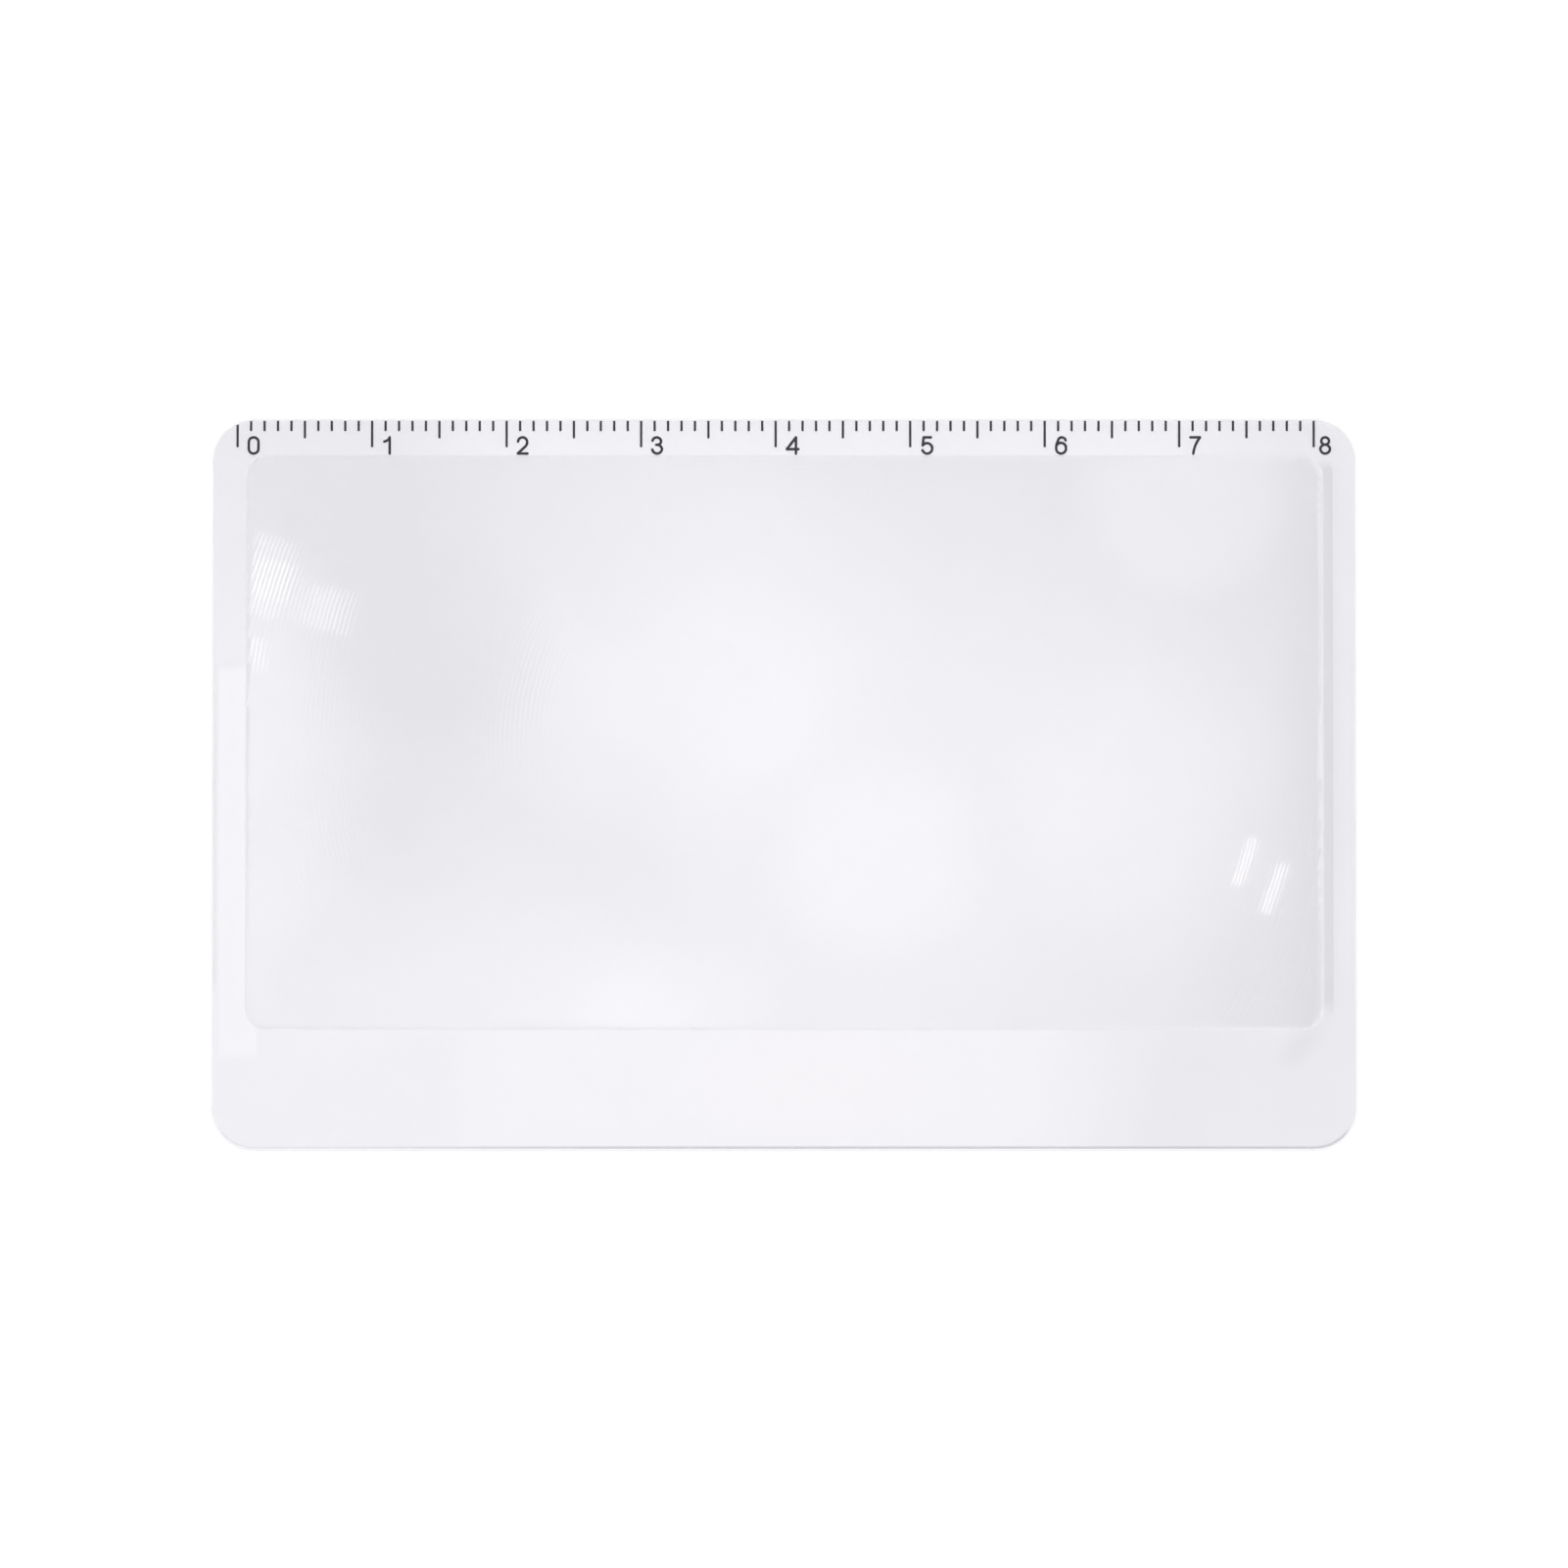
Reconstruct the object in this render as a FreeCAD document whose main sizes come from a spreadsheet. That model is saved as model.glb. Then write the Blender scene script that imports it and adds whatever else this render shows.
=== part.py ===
# Pocket magnifier: a clear card with a Fresnel lens film and a printed centimetre ruler.
# The card lies flat: +X along the ruler, +Y towards the ruler's edge, +Z up out of the grooved face.
# The origin is at the middle of the card's back. All lengths are in millimetres.
import FreeCAD, Part
import math
import os
import Sketcher

doc = FreeCAD.newDocument("PocketMagnifier")
sheet = doc.addObject("Spreadsheet::Sheet", "Sizes")

# Driving values, one row of the sheet for each: alias, value, what it is
driving_values = [
    ("RulerCentimetres", 8, "number of centimetres on the ruler"),
    ("MillimetreSpacing", 1.0, "from one mark to the next"),
    ("FirstMarkInset", 1.88, "card's left edge to the middle of the first mark"),
    ("LastMarkInset", 3.12, "middle of the last mark to the card's right edge"),
    ("CornerRadius", 3.18, "card's corners"),
    ("SheetThickness", 0.45, "carrier sheet"),
    ("SheetEdgeRoundShare", 0.3, "rounding of the carrier's cut edges, as a share of its thickness"),
    ("BottomMargin", 9.0, "card's lower edge to the lens"),
    ("SideMargin", 2.5, "card's short edges to the lens"),
    ("LensWidth", 43.26, "lens film, across the card"),
    ("LensCornerRadius", 1.5, "lens film's corners"),
    ("LensEdgeLean", 30.0, "degrees that the lens film's edge leans inwards"),
    ("LensWeb", 0.13, "solid film left under the deepest groove"),
    ("GroovePitch", 0.35, "from one ring to the next"),
    ("CentreDiscRadius", 0.7, "plain disc in the middle of the rings"),
    ("FocalLength", 180.0, "of the lens"),
    ("RefractiveIndex", 1.53, "of the clear film"),
    ("InkThickness", 0.02, "printed ink"),
    ("InkTrim", 0.01, "rounded edge of the carrier to the nearest ink"),
    ("MarkWidth", 0.18, "every mark of the ruler"),
    ("CentimetreMarkLength", 2.13, "from the card's upper edge"),
    ("HalfCentimetreMarkLength", 1.46, "from the card's upper edge"),
    ("MillimetreMarkLength", 0.92, "from the card's upper edge"),
    ("NumeralHeight", 1.42, "outer height of a digit"),
    ("NumeralWidth", 0.92, "outer width of a digit"),
    ("PenWidth", 0.20, "stroke of a digit"),
    ("NumeralTopGap", 0.37, "millimetre marks to the digits"),
    ("NumeralFootGap", 0.03, "digits to the lens"),
    ("NumeralSideGap", 0.64, "centimetre mark to its digit"),
    ("LastNumeralSideGap", 0.30, "last centimetre mark to its digit"),
    ("Overrun", 0.5, "how far a cutting shape runs past what it cuts"),
]
for row, (alias, value, meaning) in enumerate(driving_values, start=1):
    sheet.set(f"A{row}", alias)
    sheet.set(f"B{row}", str(value))
    sheet.set(f"C{row}", meaning)
    sheet.setAlias(f"B{row}", alias)
doc.recompute()

up = FreeCAD.Vector(0, 0, 1)
marks_per_centimetre = 10
marks_per_half_centimetre = 5

# Sizes and places worked out from the driving values, as expressions
ruler_length = f"(Sizes.RulerCentimetres * {marks_per_centimetre} * Sizes.MillimetreSpacing)"
card_length = f"(Sizes.FirstMarkInset + {ruler_length} + Sizes.LastMarkInset)"
top_margin = "(Sizes.MillimetreMarkLength + Sizes.NumeralTopGap + Sizes.NumeralHeight + Sizes.NumeralFootGap)"
card_width = f"({top_margin} + Sizes.LensWidth + Sizes.BottomMargin)"
lens_length = f"({card_length} - 2 * Sizes.SideMargin)"
lens_middle_y = f"({card_width} / 2 - {top_margin} - Sizes.LensWidth / 2)"
first_mark_x = f"(Sizes.FirstMarkInset - {card_length} / 2)"
sheet_edge_round = "(Sizes.SheetEdgeRoundShare * Sizes.SheetThickness)"


def size(expression):
    """The present value of an expression, as a plain number."""
    return float(sheet.evalExpression(expression))


def bind(target, bindings):
    """Binds properties of an object to expressions on the sheet."""
    for target_property, expression in bindings.items():
        target.setExpression(target_property, expression)


def draw_rounded_rectangle(sketch, length, width, radius):
    """A rectangle with round corners about the sketch's origin, its sizes bound to expressions."""
    half_x, half_y, corner = size(length) / 2, size(width) / 2, size(radius)
    straight_x, straight_y = half_x - corner, half_y - corner
    corner_signs = [(1, 1), (-1, 1), (-1, -1), (1, -1)]
    for quarter, (sign_x, sign_y) in enumerate(corner_signs):
        centre = FreeCAD.Vector(sign_x * straight_x, sign_y * straight_y, 0)
        circle = Part.Circle(centre, up, corner)
        start_angle = quarter * math.pi / 2
        sketch.addGeometry(Part.ArcOfCircle(circle, start_angle, start_angle + math.pi / 2), False)
    line_ends = [
        ((straight_x, half_y), (-straight_x, half_y)),
        ((-half_x, straight_y), (-half_x, -straight_y)),
        ((-straight_x, -half_y), (straight_x, -half_y)),
        ((half_x, -straight_y), (half_x, straight_y)),
    ]
    for start, end in line_ends:
        sketch.addGeometry(Part.LineSegment(FreeCAD.Vector(*start, 0), FreeCAD.Vector(*end, 0)), False)
    arcs, lines = [0, 1, 2, 3], [4, 5, 6, 7]
    top, left, bottom, right = lines
    starts, ends = 1, 2
    for arc, line, next_arc in zip(arcs, lines, arcs[1:] + arcs[:1]):
        sketch.addConstraint(Sketcher.Constraint("Tangent", arc, ends, line, starts))
        sketch.addConstraint(Sketcher.Constraint("Tangent", line, ends, next_arc, starts))
    for arc in arcs[1:]:
        sketch.addConstraint(Sketcher.Constraint("Equal", arcs[0], arc))
    sketch.addConstraint(Sketcher.Constraint("Horizontal", top))
    sketch.addConstraint(Sketcher.Constraint("Vertical", left))
    origin_point = (-1, 1)
    sketch.addConstraint(Sketcher.Constraint("Symmetric", top, starts, bottom, starts, *origin_point))
    sketch.addConstraint(Sketcher.Constraint("Symmetric", left, starts, right, starts, *origin_point))
    dimensions = {
        "Length": (Sketcher.Constraint("DistanceX", left, starts, right, starts, 2 * half_x), length),
        "Width": (Sketcher.Constraint("DistanceY", bottom, starts, top, starts, 2 * half_y), width),
        "Radius": (Sketcher.Constraint("Radius", arcs[0], corner), radius),
    }
    for name, (constraint, expression) in dimensions.items():
        index = sketch.addConstraint(constraint)
        sketch.renameConstraint(index, name)
        sketch.setExpression(f"Constraints.{name}", expression)


def add_prism(name, length, width, radius, height):
    """A prism with round corners, from one overrun below the origin to a height, that cuts to an outline."""
    sketch = doc.addObject("Sketcher::SketchObject", f"{name}Sketch")
    draw_rounded_rectangle(sketch, length, width, radius)
    prism = doc.addObject("Part::Extrusion", name)
    prism.Base = sketch
    prism.DirMode = "Normal"
    prism.Solid = True
    bind(prism, {"LengthFwd": height, "LengthRev": "Sizes.Overrun"})
    return prism


def make_card_sheet():
    """The carrier: a die-cut sheet with its upper and lower edges slightly rounded."""
    body = doc.addObject("PartDesign::Body", "CardSheet")
    sketch = body.newObject("Sketcher::SketchObject", "CardOutline")
    floor_plane = next(plane for plane in body.Origin.OriginFeatures if plane.Role == "XY_Plane")
    sketch.AttachmentSupport = [(floor_plane, "")]
    sketch.MapMode = "FlatFace"
    draw_rounded_rectangle(sketch, card_length, card_width, "Sizes.CornerRadius")
    pad = body.newObject("PartDesign::Pad", "CardPad")
    pad.Profile = sketch
    bind(pad, {"Length": "Sizes.SheetThickness"})
    doc.recompute()
    flat_faces = [
        f"Face{number}"
        for number, face in enumerate(pad.Shape.Faces, start=1)
        if round(abs(face.normalAt(0, 0).z)) == 1
    ]
    edge_round = body.newObject("PartDesign::Fillet", "CardEdgeRound")
    edge_round.Base = (pad, flat_faces)
    bind(edge_round, {"Radius": sheet_edge_round})
    body.Tip = edge_round
    return body


def facet_slope(radius, focal_length, index):
    """Slope of the ring facet that bends light from the focal point into a parallel beam."""
    sine = math.sin(math.atan(radius / focal_length))
    return sine / (math.sqrt(index ** 2 - sine ** 2) - 1)


def ring_profile():
    """Half section of the grooved film, from its flat back at zero height to the crests of the rings."""
    pitch = size("Sizes.GroovePitch")
    first_radius = size("Sizes.CentreDiscRadius")
    reach = math.hypot(size(lens_length), size("Sizes.LensWidth")) / 2
    ring_count = math.ceil((reach - first_radius) / pitch)
    inner_radii = [first_radius + ring * pitch for ring in range(ring_count)]
    slopes = [
        facet_slope(radius + pitch / 2, size("Sizes.FocalLength"), size("Sizes.RefractiveIndex"))
        for radius in inner_radii
    ]
    crest = size("Sizes.LensWeb") + pitch * slopes[-1]
    points = [(0, 0), (0, crest)]
    for radius, slope in zip(inner_radii, slopes):
        points.append((radius, crest))
        points.append((radius + pitch, crest - pitch * slope))
    points.append((inner_radii[-1] + pitch, 0))
    points.append(points[0])
    return [FreeCAD.Vector(radius, 0, height) for radius, height in points]


def make_fresnel_lens():
    """The lens film: a disc of ring grooves, cut to its own rounded outline and laid on the carrier."""
    section = doc.addObject("Part::Feature", "RingSection")
    section.Shape = Part.Face(Part.makePolygon(ring_profile()))
    disc = doc.addObject("Part::Revolution", "GroovedDisc")
    disc.Source = section
    disc.Axis = up
    disc.Base = FreeCAD.Vector(0, 0, 0)
    disc.Angle = 360
    disc.Solid = True
    # No groove is as deep as the pitch, so this prism stands clear of the film
    outline = add_prism("LensOutline", lens_length, "Sizes.LensWidth", "Sizes.LensCornerRadius",
                        "Sizes.LensWeb + Sizes.GroovePitch")
    bind(outline, {"TaperAngle": "-Sizes.LensEdgeLean", "TaperAngleRev": "Sizes.LensEdgeLean"})
    lens = doc.addObject("Part::Common", "FresnelLens")
    lens.Base = disc
    lens.Tool = outline
    bind(lens, {"Placement.Base.y": lens_middle_y, "Placement.Base.z": "Sizes.SheetThickness"})
    return lens


def make_marks(name, millimetres, mark_length, print_area):
    """One kind of ruler mark: a bar of ink at each of these millimetres, trimmed to the print area."""
    bars = []
    for millimetre in millimetres:
        bar = doc.addObject("Part::Box", f"{name}Bar{millimetre}")
        bind(bar, {
            "Length": "Sizes.MarkWidth",
            "Width": mark_length,
            "Height": "Sizes.InkThickness",
            "Placement.Base.x":
                f"{first_mark_x} + {millimetre} * Sizes.MillimetreSpacing - Sizes.MarkWidth / 2",
            "Placement.Base.y": f"{card_width} / 2 - {mark_length}",
        })
        bars.append(bar)
    group = doc.addObject("Part::Compound", f"{name}Group")
    group.Links = bars
    marks = doc.addObject("Part::Common", name)
    marks.Base = group
    marks.Tool = print_area
    bind(marks, {"Placement.Base.z": "Sizes.SheetThickness"})
    return marks


# The strokes of each digit: a line has two points and an arc three. They are shares of the width and
# height between the middles of the outermost strokes, counted from the lower left.
digit_stroke_shares = {
    0: [
        [(0.00, 0.30), (0.00, 0.70)],
        [(0.00, 0.70), (0.50, 1.00), (1.00, 0.70)],
        [(1.00, 0.70), (1.00, 0.30)],
        [(1.00, 0.30), (0.50, 0.00), (0.00, 0.30)],
    ],
    1: [
        [(0.10, 0.74), (0.42, 0.82), (0.66, 1.00)],
        [(0.66, 1.00), (0.66, 0.00)],
    ],
    2: [
        [(0.02, 0.74), (0.46, 1.00), (0.96, 0.70)],
        [(0.96, 0.70), (0.90, 0.54), (0.74, 0.42)],
        [(0.74, 0.42), (0.00, 0.00)],
        [(0.00, 0.00), (1.00, 0.00)],
    ],
    3: [
        [(0.02, 0.80), (0.46, 1.00), (0.90, 0.77)],
        [(0.90, 0.77), (0.76, 0.59), (0.40, 0.54)],
        [(0.40, 0.54), (0.82, 0.47), (1.00, 0.27)],
        [(1.00, 0.27), (0.50, 0.00), (0.00, 0.24)],
    ],
    4: [
        [(0.94, 1.00), (0.00, 0.27)],
        [(0.00, 0.27), (1.19, 0.27)],
        [(0.94, 1.00), (0.94, 0.00)],
    ],
    5: [
        [(1.00, 1.00), (0.24, 1.00)],
        [(0.24, 1.00), (0.14, 0.50)],
        [(0.14, 0.50), (0.62, 0.64), (1.12, 0.33)],
        [(1.12, 0.33), (0.62, 0.00), (0.12, 0.20)],
    ],
    6: [
        [(1.00, 0.82), (0.62, 1.00), (0.22, 0.76)],
        [(0.22, 0.76), (0.06, 0.54), (0.04, 0.33)],
        [(0.04, 0.33), (0.54, 0.66), (1.04, 0.33)],
        [(1.04, 0.33), (0.54, 0.00), (0.04, 0.33)],
    ],
    7: [
        [(0.00, 1.00), (1.00, 1.00)],
        [(1.00, 1.00), (0.54, 0.54), (0.30, 0.00)],
    ],
    8: [
        [(0.10, 0.77), (0.50, 1.00), (0.90, 0.77)],
        [(0.90, 0.77), (0.50, 0.55), (0.10, 0.77)],
        [(0.00, 0.28), (0.50, 0.55), (1.00, 0.28)],
        [(1.00, 0.28), (0.50, 0.00), (0.00, 0.28)],
    ],
    9: [
        [(0.00, 0.67), (0.50, 1.00), (1.00, 0.67)],
        [(1.00, 0.67), (0.50, 0.34), (0.00, 0.67)],
        [(1.00, 0.67), (0.98, 0.44), (0.82, 0.22)],
        [(0.82, 0.22), (0.44, 0.00), (0.04, 0.18)],
    ],
}


def pen_stroke(points, pen_width):
    """The faces that a round pen inks along a line or an arc: a band and a disc at each end."""
    start, end = points[0], points[-1]
    if len(points) == 2:
        along = end - start
        across = along.cross(up).normalize() * (pen_width / 2)
        band = Part.makeLine(start - across, start + across).extrude(along)
    else:
        arc = Part.ArcOfCircle(*points)
        across = (start - arc.Center).normalize() * (pen_width / 2)
        turn = math.degrees(arc.LastParameter - arc.FirstParameter)
        band = Part.makeLine(start - across, start + across).revolve(arc.Center, arc.Axis, turn)
    discs = [Part.Face(Part.Wire(Part.makeCircle(pen_width / 2, point))) for point in (start, end)]
    return [band] + discs


def make_numeral(digit, side_gap):
    """One printed digit, to the right of its centimetre mark and just above the lens."""
    pen_width = size("Sizes.PenWidth")
    middle_width = size("Sizes.NumeralWidth") - pen_width
    middle_height = size("Sizes.NumeralHeight") - pen_width
    inked = []
    for stroke in digit_stroke_shares[digit]:
        points = [
            FreeCAD.Vector(pen_width / 2 + share_x * middle_width, pen_width / 2 + share_y * middle_height, 0)
            for share_x, share_y in stroke
        ]
        inked += [face.extrude(up * size("Sizes.InkThickness")) for face in pen_stroke(points, pen_width)]
    numeral = doc.addObject("Part::Feature", f"Numeral{digit}")
    numeral.Shape = inked[0].multiFuse(inked[1:]).removeSplitter()
    mark_x = f"{first_mark_x} + {digit * marks_per_centimetre} * Sizes.MillimetreSpacing"
    bind(numeral, {
        "Placement.Base.x": f"{mark_x} + Sizes.MarkWidth / 2 + {side_gap}",
        "Placement.Base.y": f"{card_width} / 2 - {top_margin} + Sizes.NumeralFootGap",
        "Placement.Base.z": "Sizes.SheetThickness",
    })
    return numeral


nodes = {"card_sheet": make_card_sheet(), "fresnel_lens": make_fresnel_lens()}
solid_counts = {"card_sheet": 1, "fresnel_lens": 1}

ink_inset = f"({sheet_edge_round} + Sizes.InkTrim)"
print_area = add_prism(
    "PrintArea",
    f"{card_length} - 2 * {ink_inset}",
    f"{card_width} - 2 * {ink_inset}",
    f"Sizes.CornerRadius - {ink_inset}",
    "Sizes.InkThickness + Sizes.Overrun",
)
ruler_centimetres = int(size("Sizes.RulerCentimetres"))
all_millimetres = range(ruler_centimetres * marks_per_centimetre + 1)
centimetres = [mark for mark in all_millimetres if mark % marks_per_centimetre == 0]
halves = [mark for mark in all_millimetres if mark % marks_per_centimetre == marks_per_half_centimetre]
others = [mark for mark in all_millimetres if mark % marks_per_half_centimetre != 0]
mark_kinds = {
    "centimetre_marks": ("CentimetreMarks", centimetres, "Sizes.CentimetreMarkLength"),
    "half_centimetre_marks": ("HalfCentimetreMarks", halves, "Sizes.HalfCentimetreMarkLength"),
    "millimetre_marks": ("MillimetreMarks", others, "Sizes.MillimetreMarkLength"),
}
for label, (name, millimetres, mark_length) in mark_kinds.items():
    nodes[label] = make_marks(name, millimetres, mark_length, print_area)
    solid_counts[label] = len(millimetres)
for digit in range(ruler_centimetres + 1):
    side_gap = "Sizes.LastNumeralSideGap" if digit == ruler_centimetres else "Sizes.NumeralSideGap"
    nodes[f"numeral_{digit}"] = make_numeral(digit, side_gap)
    solid_counts[f"numeral_{digit}"] = 1

for label, node in nodes.items():
    node.Label = label
doc.recompute()

for item in doc.Objects:
    if "Invalid" in item.State or "Error" in item.State:
        raise RuntimeError(f"{item.Label} did not build: {item.State}")
for label, node in nodes.items():
    shape = node.Shape
    if shape.isNull() or not shape.isValid():
        raise RuntimeError(f"{label} has no valid shape")
    if len(shape.Solids) != solid_counts[label]:
        raise RuntimeError(f"{label} has {len(shape.Solids)} solids, not {solid_counts[label]}")

os.makedirs("parts", exist_ok=True)
for label, node in nodes.items():
    node.Shape.exportStep(os.path.join("parts", f"{label}.step"))
    print(f"{label}: {len(node.Shape.Solids)} solids, {node.Shape.Volume:.3f} cubic mm")
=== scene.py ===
import math
import bpy
import numpy as np
from mathutils import Matrix, Vector


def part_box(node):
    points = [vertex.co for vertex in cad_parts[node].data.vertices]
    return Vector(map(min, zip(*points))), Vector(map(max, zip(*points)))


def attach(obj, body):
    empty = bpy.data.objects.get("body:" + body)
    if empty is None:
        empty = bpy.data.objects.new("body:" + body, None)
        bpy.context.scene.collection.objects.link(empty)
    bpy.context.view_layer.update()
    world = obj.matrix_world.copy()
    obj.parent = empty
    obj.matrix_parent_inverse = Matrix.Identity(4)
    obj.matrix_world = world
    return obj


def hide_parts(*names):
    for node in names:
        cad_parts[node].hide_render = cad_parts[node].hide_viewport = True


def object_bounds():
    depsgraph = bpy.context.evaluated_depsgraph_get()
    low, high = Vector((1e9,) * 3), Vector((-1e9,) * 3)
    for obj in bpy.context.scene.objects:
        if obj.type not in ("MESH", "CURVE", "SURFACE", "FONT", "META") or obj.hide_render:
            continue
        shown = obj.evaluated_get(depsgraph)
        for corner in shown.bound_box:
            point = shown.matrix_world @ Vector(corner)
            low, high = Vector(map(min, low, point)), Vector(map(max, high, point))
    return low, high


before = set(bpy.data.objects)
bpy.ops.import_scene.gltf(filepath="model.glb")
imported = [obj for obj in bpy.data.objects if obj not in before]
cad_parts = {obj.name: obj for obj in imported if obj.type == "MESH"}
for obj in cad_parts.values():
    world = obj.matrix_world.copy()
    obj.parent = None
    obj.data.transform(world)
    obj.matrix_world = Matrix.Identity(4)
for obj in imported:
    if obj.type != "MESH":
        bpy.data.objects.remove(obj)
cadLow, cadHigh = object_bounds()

# Pocket magnifier: a clear card with a ring-grooved lens film and a printed ruler.
# Sizes in the dictionaries are millimetres unless their note says otherwise.
mm = 0.001
bpy.context.scene.view_settings.view_transform = "Standard"


# Node writing

# A node's output socket with Python's operators: each one adds a Math node
class Wire:
    def __init__(self, recipe, socket):
        self.recipe, self.socket = recipe, socket

    def math(self, operation, *values):
        return self.recipe.node("ShaderNodeMath", {"operation": operation}, dict(enumerate(values)))

    def __add__(self, other):
        return self.math("ADD", self, other)

    def __sub__(self, other):
        return self.math("SUBTRACT", self, other)

    def __rsub__(self, other):
        return self.math("SUBTRACT", other, self)

    def __mul__(self, other):
        return self.math("MULTIPLY", self, other)

    __radd__ = __add__
    __rmul__ = __mul__


# A node tree that is being written: node() adds one node, settings first, then values or links
class Recipe:
    def __init__(self, tree):
        self.tree = tree
        tree.nodes.clear()

    def node(self, kind, settings=None, inputs=None, output=0):
        made = self.tree.nodes.new(kind)
        for name, value in (settings or {}).items():
            setattr(made, name, value)
        for name, value in (inputs or {}).items():
            if isinstance(value, Wire):
                self.tree.links.new(value.socket, made.inputs[name])
            else:
                made.inputs[name].default_value = value
        return Wire(self, made.outputs[output]) if made.outputs else None

    def vector(self, operation, *values, output=0):
        return self.node("ShaderNodeVectorMath", {"operation": operation}, dict(enumerate(values)), output)

    def mapRange(self, value, start, end, low, high, shape="SMOOTHSTEP"):
        return self.node("ShaderNodeMapRange", {"interpolation_type": shape, "clamp": True},
                         {0: value, 1: start, 2: end, 3: low, 4: high})

    # Mixes two shaders by a factor
    def blend(self, factor, first, second):
        return self.node("ShaderNodeMixShader", None, {0: factor, 1: first, 2: second})

    # Mixes two colours by a factor
    def tint(self, factor, first, second):
        return self.node("ShaderNodeMix", {"data_type": "RGBA"}, {0: factor, 6: first, 7: second}, 2)


def newFinish(name):
    material = bpy.data.materials.new(name)
    material.use_nodes = True
    return material, Recipe(material.node_tree)


# Camera

# A long lens that leans a little from straight above; frameWidth is what the picture shows at the
# card, aimShift how far past the card's middle it aims, and clipNear and clipFar are metres
camera = dict(lens=1000.0, sensor=36.0, frameWidth=116.44, leanFromAbove=9.3, aimShift=0.07,
              clipNear=0.1, clipFar=100.0)


def makeCamera():
    data = bpy.data.cameras.new("cardCamera")
    data.lens, data.sensor_width = camera["lens"], camera["sensor"]
    distance = camera["frameWidth"] * mm * camera["lens"] / camera["sensor"]
    data.clip_start, data.clip_end = camera["clipNear"], camera["clipFar"]
    made = bpy.data.objects.new("cardCamera", data)
    bpy.context.scene.collection.objects.link(made)
    lean = math.radians(camera["leanFromAbove"])
    back = Vector((0, -math.sin(lean), math.cos(lean)))
    made.location = Vector((0, camera["aimShift"] * mm, 0)) + back * distance
    made.rotation_euler = (lean, 0, 0)
    bpy.context.scene.camera = made
    return made.location


eye = makeCamera()
print("camera placed", [round(v, 4) for v in eye])


# Lens film

# pitch to focal are the grooves' sizes in the CAD film; crown is how much each facet's slope
# changes from its middle to its edges, as a slope, because a pressed facet is a little rounded,
# and crownShift how much more it is on the film's left than in its middle
film = dict(pitch=0.35, discRadius=0.7, focal=180.0, index=1.53, corner=1.5, edgeLean=30.0,
            crown=0.0138, crownShift=0.0078)
# The film's grid: widest cell round a ring, widest step between columns (degrees), how far past
# a ring its second column lies as a share of the pitch, directions tried for the outline, columns
# in a group that can thin out together, the zone inside the outline where none thins out, how near
# a ring the outline counts as on it, decimals of a column's angle, and the angle (degrees) from
# which an edge is sharp
grid = dict(cellWidth=0.72, widestStep=1.2, pastRingShare=0.12, directions=40001, group=8, rimZone=1.0,
            onRing=1e-4, decimals=7, sharpFrom=30.0)
nearlyNothing = 1e-9


# Slope of the facet that bends light from the focal point parallel to the axis:
# sine of the ray's angle over (root of index squared less sine squared, less one)
def facetSlope(radius):
    sine = np.sin(np.arctan(radius / film["focal"]))
    return sine / (np.sqrt(film["index"] ** 2 - sine ** 2) - 1)


# Distance from the middle of a round-cornered rectangle to its outline, by direction: the nearer
# of the two sides, or in a corner the far root of the line with the corner's circle
def outlineRadius(angle, halfLength, halfWidth, corner):
    across, along = np.abs(np.cos(angle)), np.abs(np.sin(angle))
    side = np.minimum(halfLength / np.maximum(across, nearlyNothing),
                      halfWidth / np.maximum(along, nearlyNothing))
    centreX, centreY = halfLength - corner, halfWidth - corner
    reach = across * centreX + along * centreY
    arc = reach + np.sqrt(np.maximum(reach ** 2 - centreX ** 2 - centreY ** 2 + corner ** 2, 0))
    inCorner = (side * across > centreX) & (side * along > centreY)
    return np.where(inCorner, arc, side)


# Directions of the grid's columns: one where each ring meets the outline and one just past it,
# filled up evenly in between, for a quarter turn that is then mirrored to the full turn
def columnAngles(halfLength, halfWidth, corner, ringRadii):
    table = np.linspace(0, math.pi / 2, grid["directions"])
    reach = outlineRadius(table, halfLength, halfWidth, corner)
    peak = int(np.argmax(reach))
    radii = np.concatenate([ringRadii, ringRadii + grid["pastRingShare"] * film["pitch"]])
    rising = radii[(radii > reach[0]) & (radii < reach[peak])]
    falling = radii[(radii > reach[-1]) & (radii < reach[peak])]
    quarter = np.concatenate([
        [0, table[peak], math.pi / 2],
        np.interp(rising, reach[:peak + 1], table[:peak + 1]),
        np.interp(falling, reach[peak:][::-1], table[peak:][::-1]),
    ])
    quarter = np.unique(np.round(quarter, grid["decimals"]))
    gaps = np.diff(quarter)
    shares = np.maximum(np.ceil(gaps / math.radians(grid["widestStep"])), 1).astype(int)
    steps = np.repeat(gaps / shares, shares)
    quarter = np.concatenate([[0], np.cumsum(steps)])
    half = np.concatenate([quarter, math.pi - quarter[-2::-1]])
    return np.concatenate([half, 2 * math.pi - half[-2:0:-1]])


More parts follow.
